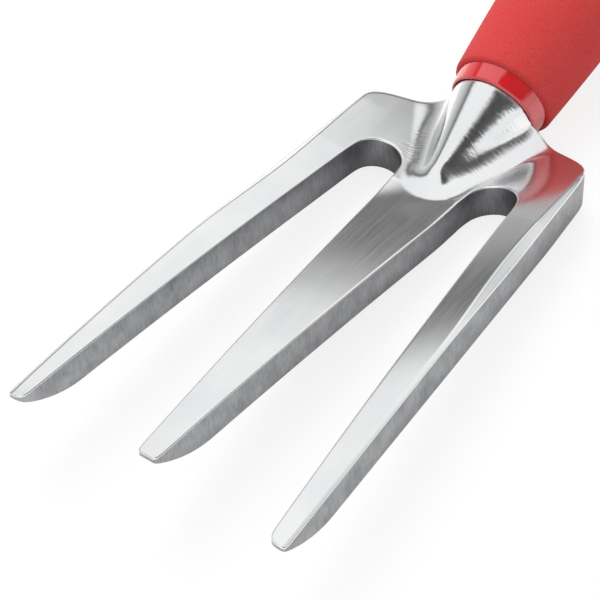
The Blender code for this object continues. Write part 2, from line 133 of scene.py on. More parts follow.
TANG_ROUND = 1.5 * MM
PIN_FROM_TANG_END = 22.4 * MM

# Handle, measured along its axis from the lip
LIP_WALL = 0.7 * MM
LIP_ROUND = 0.6 * MM
COLLAR_LENGTH = 4.8 * MM
COLLAR_FLARE = 0.7 * MM
COLLAR_SEAT = 2.4 * MM
SOCKET_DEPTH = 4.4 * MM
CORE_RADIUS = 10.4 * MM
GRIP_LENGTH = 113.0 * MM
GRIP_FRONT_RADIUS = 14.4 * MM
GRIP_BELLY_RADIUS = 17.4 * MM
GRIP_BELLY_FROM_LIP = 58.0 * MM
GRIP_REAR_RADIUS = 15.8 * MM
GRIP_RIM_ROUND = 1.4 * MM
CAP_FLANGE = 4.0 * MM
CAP_RADIUS = 15.2 * MM
CAP_ROUND = 2.2 * MM
SPIGOT_RADIUS = 6.8 * MM
SPIGOT_LENGTH = 16.0 * MM
TAB_HALF_WIDTH = 11.0 * MM
TAB_THICKNESS = 6.0 * MM
TAB_REACH = 12.0 * MM
TAB_EDGE_ROUND = 1.2 * MM
HANG_HOLE_RADIUS = 5.0 * MM
FIT = 0.3 * MM
FOAM_FIT = 0.05 * MM
OVERLAP = 2.0 * MM

# Mesh density and cage layout
CENTRE_COLUMNS = (("M", 0.0), ("K", 0.35), ("B", 0.7))
NECK_COLUMNS = (("M", 0.0), ("K", 0.5), ("B", 0.866), ("D", 1.0))
TINE_STATIONS = (1.0, 0.965, 0.9, 0.79, 0.55, 0.28, 0.05)
SLOT_STEPS = 6
WEB_RING_SPREAD = 1.55
WEB_RING_REACH = 2.0
LEAST_MITRE = 0.6
HEAD_LEVELS = 4
RIM_STEPS = 4
TURN_STEPS = 128
ROUND_STEPS = 6
GRIP_STEPS = 40
TAB_STEPS = 48
NECK_SEARCH = 30.0 * MM
NECK_STEPS = 60
NECK_CLOSE = 0.002 * MM
WELD = 0.01 * MM
SHARP_ANGLE = math.radians(35.0)

# Stage: brightness as a share of white, angles in degrees, lengths in metres and power in watts
WHITE = (1.0, 1.0, 1.0, 1.0)
FLOOR_HALF = 6.0
FLOOR_PLAIN = 0.7
FLOOR_SEEN_MATTE = 0.17
FLOOR_MIRRORED_MATTE = 0.85
FLOOR_SPECK_SHARE = 0.98
SKY_LIGHT = 0.72
KEY_AZIMUTH = -60.0
KEY_ELEVATION = 62.0
KEY_DISTANCE = 1.4
KEY_SIZE = 0.9
KEY_POWER = 12.0

# Cards that only reflections see, round the head at a distance in metres, by angles in degrees
CARD_DISTANCE = 4.0
CARD_STEPS = 48
CARD_FADE = 0.12
CARD_LIFT_RANGE = (-55.0, -5.0)
BAND_AZIMUTHS = (-170.0, 34.0)
BAND_ELEVATIONS = (0.0, 46.0)
BAND_LIFT = 7.5
RIGHT_AZIMUTHS = (40.0, 150.0)
RIGHT_ELEVATIONS = (-5.0, 90.0)
RIGHT_SLANT = 0.5

# Tones of the cards: share of the way across, brightness
BAND_TONES = (
    (0.0, 0.78),
    (0.26, 0.75),
    (0.435, 0.56),
    (0.565, 0.50),
    (0.65, 0.36),
    (0.71, 0.15),
    (0.805, 0.15),
    (0.86, 0.50),
    (0.90, 0.85),
    (0.945, 1.0),
)
RIGHT_TONES = (
    (0.0, 0.80),
    (0.11, 0.70),
    (0.18, 0.52),
    (0.25, 0.27),
    (0.32, 0.12),
    (0.40, 0.07),
    (0.70, 0.03),
    (1.0, 0.03),
)

# Grain of the finishes: grains per metre along x, y and z of the head's own frame
POLISH_LINES = (1500.0, 30.0, 1500.0)
POLISH_PATCHES = (90.0, 45.0, 90.0)
POLISH_WAVES = (110.0, 60.0, 110.0)
NECK_SCRATCHES = (90.0, 1500.0, 500.0)
GRIND_LINES = (2200.0, 2200.0, 260.0)
GRIND_PATCHES = (160.0, 160.0, 160.0)
GLOSS_CLOUD = (160.0, 160.0, 160.0)
GLOSS_PEEL = (700.0, 700.0, 700.0)
FOAM_SKIN = (2300.0, 2300.0, 2300.0)
FOAM_CLOUD = (140.0, 140.0, 140.0)
PIN_LINES = (60.0, 2000.0, 2000.0)
FLOOR_SPECKS = (40.0, 40.0, 40.0)

# Depth of the finishes
WAVE_DEPTH = 0.06 * MM
LINE_DEPTH = 0.006 * MM
SCRATCH_DEPTH = 0.18 * MM
SCRATCH_FADE = 4.0 * MM
GRIND_DEPTH = 0.02 * MM
PEEL_DEPTH = 0.02 * MM
SKIN_DEPTH = 0.2 * MM
# Painted shade: reach and samples of the occlusion that darkens the ground walls' colour in recesses
PAINTED_SHADE_REACH = 18.0 * MM
PAINTED_SHADE_SAMPLES = 8

# Colours and roughness: a pair holds the two values that a grain mixes between its ends
GRAIN_ENDS = (0.3, 0.7)
POLISHED_TONES = ((0.80, 0.81, 0.82), (0.89, 0.895, 0.90))
POLISHED_ROUGHNESS = (0.09, 0.16)
HAZE_SHARE = 0.09
HAZE_ROUGHNESS = 0.45
GROUND_ENDS = (0.15, 0.65)
GROUND_TONES = ((0.09, 0.092, 0.097), (0.46, 0.465, 0.475))
GROUND_ROUGHNESS = (0.34, 0.46)
GROUND_PATCH_SHARE = 0.55
# Painted shade: occlusion between these ends darkens the ground walls' colour down to this share
PAINTED_SHADE_ENDS = (0.35, 0.9)
PAINTED_RECESS_SHADE = (0.45, 1.0)
GLOSS_TONES = ((0.64, 0.012, 0.017), (0.72, 0.018, 0.024))
GLOSS_ROUGHNESS = (0.06, 0.10)
FOAM_TONES = ((0.56, 0.037, 0.035), (0.70, 0.062, 0.058))
FOAM_ROUGHNESS = (0.72, 0.86)
STEEL_TONES = ((0.48, 0.49, 0.50), (0.60, 0.61, 0.62))
STEEL_ROUGHNESS = (0.28, 0.42)

# Camera, in the head's own frame
CAMERA_AIM = Vector((0.9, -52.7, 0.0)) * MM
CAMERA_PLACE = Vector((168.85, -249.4, 232.71)) * MM
CAMERA_ROLL = math.radians(-4.91)
CAMERA_LENS = 90.0
CAMERA_SENSOR = 36.0
CAMERA_NEAR = 0.01


def blend(first, last, share):
    return first + (last - first) * share


def smooth_step(low, high, value):
    share = min(max((value - low) / (high - low), 0.0), 1.0)
    return share * share * (3 - 2 * share)


def soft_max(first, second, reach):
    """The larger of two heights, rounded where they come nearer to each other than reach."""
    gap = max(reach - abs(first - second), 0.0) / reach
    return max(first, second) + gap * gap * reach / 4


def soft_min(first, second, reach):
    return -soft_max(-first, -second, reach)


def finished(build, name):
    """The mesh of what was built, which ends the building."""
    mesh = bpy.data.meshes.new(name)
    build.to_mesh(mesh)
    build.free()
    return mesh


def linked(name, data):
    """A new object in the scene for a mesh, curve, lamp or camera."""
    item = bpy.data.objects.new(name, data)
    bpy.context.scene.collection.objects.link(item)
    return item


# Places on the handle

HANDLE_DIRECTION = Vector((0.0, math.cos(HANDLE_PITCH), math.sin(HANDLE_PITCH)))
HANDLE_RISE = Vector((0.0, -math.sin(HANDLE_PITCH), math.cos(HANDLE_PITCH)))
LIP_CENTRE = Vector((0.0, LIP_CENTRE_REACH, LIP_CENTRE_HEIGHT))


def handle_point(along):
    return LIP_CENTRE + along * HANDLE_DIRECTION


# The pin tells where the fork lies, and the tab's upper face how far it leans back

tab_axis = Vector(frame["record"]["mounts"][0]["axis"])
LEAN = HANDLE_PITCH - math.atan2(-tab_axis.y, tab_axis.z)
pin_low, pin_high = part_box("tang_pin")
pin_in_head = handle_point(SOCKET_DEPTH + TANG_LENGTH - PIN_FROM_TANG_END)
HEAD_MATRIX = (
    Matrix.Translation((pin_low + pin_high) / 2)
    @ Matrix.Rotation(-LEAN, 4, "X")
    @ Matrix.Translation(-pin_in_head)
)


# Outline and heights of the cast head

def outer_edge(share):
    return blend(OUTER_EDGE_ROOT, OUTER_EDGE_TIP, share) + 4 * OUTER_EDGE_BOW * share * (1 - share)


def inner_edge(share):
    return blend(INNER_EDGE_ROOT, INNER_EDGE_TIP, share)


def centre_edge(share):
    return blend(CENTRE_EDGE_ROOT, CENTRE_EDGE_TIP, share) + 4 * CENTRE_EDGE_BOW * share * (1 - share)


def droop(share):
    return -TIP_DROOP * share * share


def thickness(share, length):
    """Depth of a tine: nearly even, then the underside curves up to the tip like a prow."""
    full = blend(ROOT_THICKNESS, TIP_THICKNESS, share * share)
    from_tip = (1 - share) * length
    if from_tip >= PROW_LENGTH:
        return full
    return blend(full, TIP_EDGE, (1 - from_tip / PROW_LENGTH) ** 2)


def facet_width(y):
    angle = (y - FACET_MIDDLE) / FACET_HALF_SPAN * math.pi / 2
    if abs(angle) >= math.pi / 2:
        return FACET_LEAST_WIDTH
    return blend(FACET_LEAST_WIDTH, FACET_WIDTH, math.cos(angle) ** 2)


def side_edges(y):
    """Inner and outer edge of the side tine and its shoulder, and how far it is along the tine."""
    share = min(max(-y / SIDE_TINE_LENGTH, 0.0), 1.0)
    if y <= 0:
        return inner_edge(share), outer_edge(share), share
    outer = blend(OUTER_EDGE_ROOT, SHOULDER_EDGE, min(y / SHOULDER_CORNER_REACH, 1.0))
    return INNER_EDGE_ROOT, outer, share


def dish(x):
    """Top of the web without the neck: flat in the middle, then a plane rising to each shoulder."""
    slope = OUTER_LIFT_ROOT / (OUTER_EDGE_ROOT - INNER_EDGE_ROOT)
    return soft_max(-CENTRE_SINK_ROOT, slope * (x - INNER_EDGE_ROOT), DISH_BLEND)


def side_top(x, y):
    """Top of a side tine and its shoulder: a plane that rises outwards, then the ground facet."""
    inner, outer, share = side_edges(y)
    lift = blend(OUTER_LIFT_ROOT, OUTER_LIFT_TIP, share)
    height = droop(share) + lift * (x - inner) / (outer - inner)
    facet = min(facet_width(y), FACET_MOST_SHARE * (outer - inner))
    ridge = droop(share) + lift * (outer - facet - inner) / (outer - inner)
    fall = ridge - FACET_FALL * (x - outer + facet)
    return soft_min(height, fall, FACET_BLEND)


def centre_top(y):
    share = min(max(-y / CENTRE_TINE_LENGTH, 0.0), 1.0)
    return droop(share) + blend(-CENTRE_SINK_ROOT, CENTRE_RISE_TIP, share)


def centre_web(x, y):
    """Top of the centre tine without the neck, which runs into the dish of the web at its root."""
    return blend(centre_top(y), dish(x), smooth_step(DISH_START, DISH_FULL, y))


def bar_bottom(x, y):
    """Underside of the round neck where it enters the collar."""
    rise = -math.sqrt(max(NECK_RADIUS * NECK_RADIUS - x * x, 0.0))
    along = (y - LIP_CENTRE_REACH + rise * math.sin(HANDLE_PITCH)) / math.cos(HANDLE_PITCH)
    return LIP_CENTRE_HEIGHT + along * math.sin(HANDLE_PITCH) + rise * math.cos(HANDLE_PITCH)


CONE_LENGTH = math.hypot(LIP_CENTRE_REACH - NOSE_REACH, LIP_CENTRE_HEIGHT - NOSE_HEIGHT)
CONE_COSINE = (LIP_CENTRE_REACH - NOSE_REACH) / CONE_LENGTH
CONE_SINE = (LIP_CENTRE_HEIGHT - NOSE_HEIGHT) / CONE_LENGTH
CONE_SPREAD = (NECK_RADIUS - NOSE_RADIUS) / CONE_LENGTH
CONE_LEAD = CONE_SPREAD / math.sqrt(1 - CONE_SPREAD * CONE_SPREAD)


def neck_distance(x, y, z):
    """How far a point is from the neck: a blunt cone from its nose to the lip, then a round bar."""
    ahead = y - NOSE_REACH
    above = z - NOSE_HEIGHT
    along = ahead * CONE_COSINE + above * CONE_SINE
    beside = math.hypot(x, above * CONE_COSINE - ahead * CONE_SINE)
    station = min(max(along + beside * CONE_LEAD, 0.0), CONE_LENGTH)
    cone = math.hypot(beside, along - station) - NOSE_RADIUS - station * CONE_SPREAD
    ahead = y - LIP_CENTRE_REACH
    above = z - LIP_CENTRE_HEIGHT
    if ahead * HANDLE_DIRECTION.y + above * HANDLE_DIRECTION.z < 0:
        return cone
    return min(cone, math.hypot(x, ahead * HANDLE_RISE.y + above * HANDLE_RISE.z) - NECK_RADIUS)


def neck_share(y):
    """How far a place is along the neck, from its nose to the lip."""
    return min(max((y - NOSE_REACH) / (LIP_CENTRE_REACH - NOSE_REACH), 0.0), 1.0)


def open_air(y):
    """1 in front of the lip, fading to 0 inside the collar."""
    return 1 - smooth_step(LIP_CENTRE_REACH, LIP_CENTRE_REACH + LIP_FILLET_END, y)


def neck_fillet(y):
    """How far the hollow between neck and foot reaches, which is gone inside the collar."""
    share = neck_share(y)
    swell = CONE_FILLET - (NOSE_FILLET + LIP_FILLET) / 2
    reach = blend(NOSE_FILLET, LIP_FILLET, share) + swell * math.sin(math.pi * share) ** 2
    return max(open_air(y) * reach, LEAST_FILLET)


def with_foot(web, x, y):
    """The web with a shallow foot that slopes up to the neck all round from a crisp border."""
    share = neck_share(y)
    reach = blend(FOOT_REACH_NOSE, FOOT_REACH_LIP, share)
    slope = blend(FOOT_SLOPE_NOSE, FOOT_SLOPE_CONE, smooth_step(0.0, FOOT_SLOPE_CHANGE, share))
    rise = open_air(y) * slope * (reach - neck_distance(x, y, web))
    return web + soft_max(0.0, rise, blend(FOOT_BLEND_NOSE, FOOT_BLEND_LIP, share * share))


def with_neck(web, x, y):
    """Height of the surface where the neck grows out of the web, found by stepping down onto it."""
    if neck_distance(x, y, web) > 2 * NECK_RADIUS:
        return web
    web = with_foot(web, x, y)
    fillet = neck_fillet(y)
    height = web + NECK_SEARCH
    for _ in range(NECK_STEPS):
        above_web = FILLET_SPREAD * (height - web)
        gap = soft_min(above_web, neck_distance(x, y, height), fillet) / FILLET_SPREAD
        height -= gap
        if gap < NECK_CLOSE:
            break
    return height


def on_side_tine(x, y):
    share = min(max(-y / CENTRE_TINE_LENGTH, 0.0), 1.0)
    return x > (centre_edge(share) + inner_edge(share)) / 2


def top_height(x, y):
    x = abs(x)
    if y < 0 and on_side_tine(x, y):
        return side_top(x, y)
    if y < 0:
        return with_neck(centre_web(x, y), x, y)
    return with_neck(side_top(x, y) if x > INNER_EDGE_ROOT else dish(x), x, y)


def bottom_height(x, y):
    x = abs(x)
    if y < 0 and on_side_tine(x, y):
        share = min(-y / SIDE_TINE_LENGTH, 1.0)
        return droop(share) - thickness(share, SIDE_TINE_LENGTH)
    if y < 0:
        share = min(-y / CENTRE_TINE_LENGTH, 1.0)
        return centre_web(x, y) - thickness(share, CENTRE_TINE_LENGTH)
    web = dish(x)
    follow = SHOULDER_UNDERCUT * smooth_step(0.0, SHOULDER_CORNER_REACH, y)
    web = web - ROOT_THICKNESS if web < 0 else follow * web - ROOT_THICKNESS
    neck = bar_bottom(x, max(y, LIP_CENTRE_REACH))
    near = smooth_step(HEEL_REACH, LIP_CENTRE_REACH, y)
    near = near * (1 - smooth_step(NECK_RADIUS, NECK_RADIUS + LIP_FILLET, x))
    return min(blend(web, neck, near), top_height(x, y) - LEAST_EDGE)


# Cage of the head seen from above: points of its right half, named by column and row

ROOT_ROW = len(TINE_STATIONS)


def tine_points():
    """Rows of points across the centre tine and the side tine, from the tips to the roots."""
    at = {}
    for row, share in enumerate(TINE_STATIONS):
        y = -share * CENTRE_TINE_LENGTH
        for column, part in CENTRE_COLUMNS:
            at[f"{column}{row}"] = ((centre_edge(share) - EDGE_ROUND) * part, y)
        at[f"A{row}"] = (centre_edge(share), y)
        y = -share * SIDE_TINE_LENGTH
        inner = inner_edge(share)
        outer = outer_edge(share)
        facet = min(max(facet_width(y), 2 * EDGE_ROUND), FACET_MOST_SHARE * (outer - inner))
        at[f"I{row}"] = (inner, y)
        at[f"H{row}"] = (outer - facet, y)
        at[f"O{row}"] = (outer, y)
    return at


def web_points():
    """Points round the slot's root, on the web behind it and along the edge of the shoulder."""
    at = {}
    slot_radius = (INNER_EDGE_ROOT - CENTRE_EDGE_ROOT) / 2
    slot_middle = (INNER_EDGE_ROOT + CENTRE_EDGE_ROOT) / 2
    slot_start = SLOT_ROOT_REACH - slot_radius
    for step in range(SLOT_STEPS + 1):
        angle = math.pi * (1 - step / SLOT_STEPS)
        name = f"A{ROOT_ROW + step}" if step < SLOT_STEPS else f"I{ROOT_ROW}"
        x = slot_middle + slot_radius * math.cos(angle)
        y = slot_start + slot_radius * math.sin(angle)
        at[name] = (x, y)
    for step in range(SLOT_STEPS - 1):
        angle = math.pi * (1 - step / SLOT_STEPS)
        x = slot_middle + WEB_RING_SPREAD * slot_radius * math.cos(angle)
        y = slot_start + WEB_RING_REACH * slot_radius * math.sin(angle)
        at[f"B{ROOT_ROW + step}"] = (x, y)
    for row in (ROOT_ROW, ROOT_ROW + 1, ROOT_ROW + 2):
        x, y = at[f"B{row}"]
        at[f"M{row}"] = (0.0, y)
        at[f"K{row}"] = (x / 2, y)
    for row, y in ((ROOT_ROW, slot_start), (ROOT_ROW + 1, SLOT_ROOT_REACH)):
        outer = side_edges(y)[1]
        at[f"H{row}"] = (outer - facet_width(y), y)
        at[f"O{row}"] = (outer, y)
    at["C"] = (SHOULDER_EDGE, SHOULDER_CORNER_REACH)
    at["D1"] = (SHOULDER_BACK_EDGE, SHOULDER_BACK_REACH)
    at["D2"] = (BACK_EDGE_MIDDLE, BACK_EDGE_REACH)
    at["D3"] = (ARMPIT_EDGE, ARMPIT_REACH)
    return at


def neck_points():
    """Rows of points across the neck, from the armpit to beyond its end inside the collar."""
    at = {}
    rows = [(ARMPIT_INNER_EDGE, ARMPIT_INNER_REACH)]
    rows += [(NECK_RADIUS, reach) for reach in NECK_ROWS]
    for number, (half, y) in enumerate(rows):
        for column, part in NECK_COLUMNS:
            at[f"N{column}{number}"] = (half * part, y)
    return at


def cage_faces():
    """Faces of the right half, each as the names of its corners."""
    faces = []

    def strip(left, right, rows):
        for row in range(rows):
            faces.append((f"{left}{row}", f"{right}{row}", f"{right}{row + 1}", f"{left}{row + 1}"))

    strip("M", "K", ROOT_ROW + 2)
    strip("K", "B", ROOT_ROW + 2)
    strip("B", "A", ROOT_ROW + 4)
    strip("I", "H", ROOT_ROW)
    strip("H", "O", ROOT_ROW + 1)
    inner, middle, outer = [f"B{ROOT_ROW + step}" for step in (2, 3, 4)]
    slot, slot_end = [f"A{ROOT_ROW + step}" for step in (4, 5)]
    ridge = f"H{ROOT_ROW + 1}"
    faces.append((outer, slot, slot_end, ridge))
    faces.append((f"I{ROOT_ROW}", f"H{ROOT_ROW}", ridge, slot_end))
    faces.append((ridge, f"O{ROOT_ROW + 1}", "C"))
    faces.append((ridge, "C", "D1", outer))
    faces.append((outer, "D1", "D2", middle))
    faces.append((middle, "D2", "D3", inner))
    before = [f"M{ROOT_ROW + 2}", f"K{ROOT_ROW + 2}", inner, "D3"]
    for number in range(len(NECK_ROWS) + 1):
        after = [f"N{column}{number}" for column, _ in NECK_COLUMNS]
        for place in range(len(NECK_COLUMNS) - 1):
            faces.append((before[place], before[place + 1], after[place + 1], after[place]))
        before = after
    return faces


def cage_rim():
    """Outline of the right half in order, from the centre tine's tip to the armpit."""
    rim = ["M0", "K0", "B0"]
    rim += [f"A{row}" for row in range(ROOT_ROW + SLOT_STEPS)]
    rim += [f"I{row}" for row in range(ROOT_ROW, -1, -1)]
    rim += ["H0"]
    rim += [f"O{row}" for row in range(ROOT_ROW + 2)]
    rim += ["C", "D1", "D2", "D3"]
    return rim


def inset(at, rim, width):
    """Moves the rim's points inwards by the width of the rounded edge."""
    first = Vector(at[rim[0]])
    chain = [Vector((-at[rim[1]][0], first.y))] + [Vector(at[name]) for name in rim]
    for number, name in enumerate(rim):
        here = chain[number + 1]
        before = (here - chain[number]).normalized()
        after = (chain[number + 2] - here).normalized() if number + 1 < len(rim) else before
        tangent = (before + after).normalized()
        inwards = Vector((-tangent.y, tangent.x))
        mitre = max(tangent.dot(before), LEAST_MITRE)
        here = here + inwards * width / mitre
        at[name] = (max(here.x, 0.0) if name == "M0" else here.x, here.y)


def fine_planform():
    """The cage mirrored and subdivided, as points, faces and the ordered rim of the whole head."""
    at = {**tine_points(), **web_points(), **neck_points()}
    inset(at, cage_rim(), EDGE_ROUND)
    build = bmesh.new()
    corner = {name: build.verts.new((x, y, 0.0)) for name, (x, y) in at.items()}
    for face in cage_faces():
        build.faces.new([corner[name] for name in face])
    mesh = finished(build, "planform")
    guide = linked("planform", mesh)
    mirror = guide.modifiers.new("two_halves", "MIRROR")
    mirror.merge_threshold = WELD
    skin = guide.modifiers.new("fine", "SUBSURF")
    skin.levels = HEAD_LEVELS
    skin.boundary_smooth = "ALL"
    graph = bpy.context.evaluated_depsgraph_get()
    fine = guide.evaluated_get(graph).to_mesh()
    points = [(vertex.co.x, vertex.co.y) for vertex in fine.vertices]
    quads = [tuple(face.vertices) for face in fine.polygons]
    guide.evaluated_get(graph).to_mesh_clear()
    bpy.data.objects.remove(guide, do_unlink=True)
    bpy.data.meshes.remove(mesh)
    sides = {}
    for quad in quads:
        for here, after in zip(quad, quad[1:] + quad[:1]):
            sides[(here, after)] = True
    following = {here: after for here, after in sides if (after, here) not in sides}
    start = min(following)
    loop = [start]
    while following[loop[-1]] != start:
        loop.append(following[loop[-1]])
    return points, quads, loop


def rim_rings(build, points, loop, upper, lower):
    """Rings of points down the rim: a rounded edge at the top, the wall and a rounded edge below."""
    outwards = []
    rounds = []
    for place, number in enumerate(loop):
        before = Vector(points[loop[place - 1]])
        after = Vector(points[loop[(place + 1) % len(loop)]])
        tangent = (after - before).normalized()
        outwards.append(Vector((tangent.y, -tangent.x)))
        free = 1 - smooth_step(ARMPIT_REACH, ARMPIT_INNER_REACH, upper[number].co.y)
        wall = upper[number].co.z - lower[number].co.z
        rounds.append(free * min(EDGE_ROUND, EDGE_MOST_SHARE * wall))
    turns = [math.pi / 2 * (step + 1) / RIM_STEPS for step in range(RIM_STEPS)]
    rings = [[upper[number] for number in loop]]
    for sheet, side, order in ((upper, -1, turns), (lower, 1, turns[::-1])):
        for turn in order:
            ring = []
            for place, number in enumerate(loop):
                out = outwards[place] * rounds[place] * math.sin(turn)
                rise = side * rounds[place] * (1 - math.cos(turn))
                edge = sheet[number].co
                ring.append(build.verts.new((edge.x + out.x, edge.y + out.y, edge.z + rise)))
            rings.append(ring)
    rings.append([lower[number] for number in loop])
    return rings


def trim_for_collar(build):
    """Stops the web short of the collar's lip and cuts the neck square to the handle inside the socket."""
    for vertex in build.verts:
        along = (vertex.co - LIP_CENTRE).dot(HANDLE_DIRECTION)
        beside = (vertex.co - handle_point(along)).length
        if beside > NECK_RADIUS + FIT and along > -FIT:
            vertex.co -= (along + FIT) * HANDLE_DIRECTION
    bmesh.ops.remove_doubles(build, verts=build.verts, dist=WELD)
    bmesh.ops.dissolve_degenerate(build, edges=build.edges, dist=WELD)
    cut = bmesh.ops.bisect_plane(
        build,
        geom=build.verts[:] + build.edges[:] + build.faces[:],
        plane_co=handle_point(SOCKET_DEPTH - FIT),
        plane_no=HANDLE_DIRECTION,
        clear_outer=True,
    )
    end = [item for item in cut["geom_cut"] if isinstance(item, bmesh.types.BMEdge)]
    bmesh.ops.holes_fill(build, edges=end, sides=0)
    bmesh.ops.remove_doubles(build, verts=build.verts, dist=WELD)


def head_mesh():
    """The cast head as one closed mesh: top and underside from their heights, joined round the rim."""
    points, quads, loop = fine_planform()
    top_slot, wall_slot = 0, 1
    build = bmesh.new()
    upper = [build.verts.new((x, y, top_height(x, y))) for x, y in points]
    lower = [build.verts.new((x, y, bottom_height(x, y))) for x, y in points]
    for quad in quads:
        build.faces.new([upper[number] for number in quad]).material_index = top_slot
        build.faces.new([lower[number] for number in reversed(quad)]).material_index = wall_slot
    rings = rim_rings(build, points, loop, upper, lower)
    for level, (above, below) in enumerate(zip(rings, rings[1:])):
        for place in range(len(loop)):
            after = (place + 1) % len(loop)
            face = build.faces.new((above[after], above[place], below[place], below[after]))
            face.material_index = top_slot if level < RIM_STEPS else wall_slot
    trim_for_collar(build)
    bmesh.ops.recalc_face_normals(build, faces=build.faces)
    mesh = finished(build, "cast_head")
    mesh.shade_smooth()
    return mesh


# Pieces turned or cut for the handle

HANDLE_MATRIX = (
    HEAD_MATRIX
    @ Matrix.Translation(LIP_CENTRE)
    @ Matrix.Rotation(HANDLE_PITCH - math.pi / 2, 4, "X")
)


def arc(radius, along, size, first, last):
    """A rounded corner of a profile about (radius, along), from one angle to another in degrees."""
    corner = []
    for step in range(ROUND_STEPS + 1):
        angle = math.radians(blend(first, last, step / ROUND_STEPS))
        corner.append((radius + size * math.cos(angle), along + size * math.sin(angle)))
    return corner


def turned_mesh(name, profile):
    """A closed solid turned about Z. The profile goes round its section as (radius, height)."""
    build = bmesh.new()
    rings = []
    for radius, height in profile:
        steps = TURN_STEPS if radius > WELD else 1
        ring = []
        for step in range(steps):
            turn = 2 * math.pi * step / steps
            ring.append(build.verts.new((radius * math.cos(turn), radius * math.sin(turn), height)))
        rings.append(ring)
    for here, after in zip(rings, rings[1:] + rings[:1]):
        for step in range(TURN_STEPS):
            corners = [
                here[step % len(here)],
                here[(step + 1) % len(here)],
                after[(step + 1) % len(after)],
                after[step % len(after)],
            ]
            corners = list(dict.fromkeys(corners))
            if len(corners) > 2:
                build.faces.new(corners)
    bmesh.ops.recalc_face_normals(build, faces=build.faces)
    mesh = finished(build, name)
    mesh.shade_smooth()
    return mesh


def core_mesh():
    """Plastic core: its exposed collar, the socket for the neck, the tang's bore and the cap's bore."""
    socket = NECK_RADIUS + FIT
    lip = socket + LIP_WALL
    seat = lip + COLLAR_FLARE
    bore = TANG_RADIUS + FIT
    rear = COLLAR_LENGTH + GRIP_LENGTH
    shoulder = COLLAR_LENGTH + COLLAR_SEAT
    tang_end = SOCKET_DEPTH + TANG_LENGTH + FIT
    spigot_end = rear - SPIGOT_LENGTH - FIT
    profile = [(0.0, spigot_end), (SPIGOT_RADIUS + FIT, spigot_end), (SPIGOT_RADIUS + FIT, rear)]
    profile += [(CORE_RADIUS, rear), (CORE_RADIUS, shoulder)]
    profile += reversed(arc(seat - LIP_ROUND, shoulder - LIP_ROUND, LIP_ROUND, 0, 90))
    profile += [(seat, COLLAR_LENGTH)]
    profile += reversed(arc(lip - LIP_ROUND, LIP_ROUND, LIP_ROUND, -90, 0))
    profile += [(socket, 0.0), (socket, SOCKET_DEPTH)]
    profile += [(bore, SOCKET_DEPTH), (bore, tang_end), (0.0, tang_end)]
    return turned_mesh("collar_core", profile)


def grip_radius(along):
    """Outer radius of the foam: swelling from the front rim to the belly, then easing to the rear."""
    if along <= GRIP_BELLY_FROM_LIP:
        share = (along - COLLAR_LENGTH) / (GRIP_BELLY_FROM_LIP - COLLAR_LENGTH)
        return blend(GRIP_FRONT_RADIUS, GRIP_BELLY_RADIUS, math.sin(share * math.pi / 2))
    rear = COLLAR_LENGTH + GRIP_LENGTH
    share = (along - GRIP_BELLY_FROM_LIP) / (rear - GRIP_BELLY_FROM_LIP)
    return blend(GRIP_BELLY_RADIUS, GRIP_REAR_RADIUS, share * share)


def grip_mesh():
    """Foam sleeve: a swelling outside with rounded rims, a bore for the core and a seat for the collar."""
    front = COLLAR_LENGTH
    rear = COLLAR_LENGTH + GRIP_LENGTH
    seat = NECK_RADIUS + FIT + LIP_WALL + COLLAR_FLARE + FOAM_FIT
    bore = CORE_RADIUS + FIT
    size = GRIP_RIM_ROUND
    profile = [(bore, rear)]
    profile += reversed(arc(grip_radius(rear - size) - size, rear - size, size, 0, 90))
    for step in range(1, GRIP_STEPS):
        along = blend(rear - size, front + size, step / GRIP_STEPS)
        profile.append((grip_radius(along), along))
    rim = arc(grip_radius(front + size) - size, front + size, size, -90, 0)
    profile += [(max(radius, seat), along) for radius, along in reversed(rim)]
    profile += [(seat, front + COLLAR_SEAT + FIT), (bore, front + COLLAR_SEAT + FIT)]
    profile = [point for number, point in enumerate(profile) if point != profile[number - 1]]
    return turned_mesh("foam_sleeve", profile)


def tab_mesh():
    """Flat tab with rounded edges that the cap carries, in its own plane."""
    outline = bpy.data.curves.new("tab_outline", "CURVE")
    outline.dimensions = "2D"
    outline.fill_mode = "BOTH"
    outline.extrude = TAB_THICKNESS / 2 - TAB_EDGE_ROUND
    outline.bevel_depth = TAB_EDGE_ROUND
    outline.bevel_resolution = ROUND_STEPS
    outline.offset = -TAB_EDGE_ROUND
    points = [(TAB_HALF_WIDTH, -OVERLAP)]
    for step in range(TAB_STEPS + 1):
        angle = math.pi * step / TAB_STEPS
        points.append((TAB_HALF_WIDTH * math.cos(angle), TAB_REACH + TAB_HALF_WIDTH * math.sin(angle)))
    points.append((-TAB_HALF_WIDTH, -OVERLAP))
    spline = outline.splines.new("POLY")
    spline.points.add(len(points) - 1)
    for point, (x, y) in zip(spline.points, points):
        point.co = (x, y, 0.0, 1.0)
    spline.use_cyclic_u = True
    guide = linked("tab_outline", outline)
    graph = bpy.context.evaluated_depsgraph_get()
    mesh = bpy.data.meshes.new_from_object(guide.evaluated_get(graph))
    bpy.data.objects.remove(guide, do_unlink=True)
    build = bmesh.new()
    build.from_mesh(mesh)
    bmesh.ops.remove_doubles(build, verts=build.verts, dist=WELD)
    bmesh.ops.recalc_face_normals(build, faces=build.faces)
    build.to_mesh(mesh)
    build.free()
    return mesh


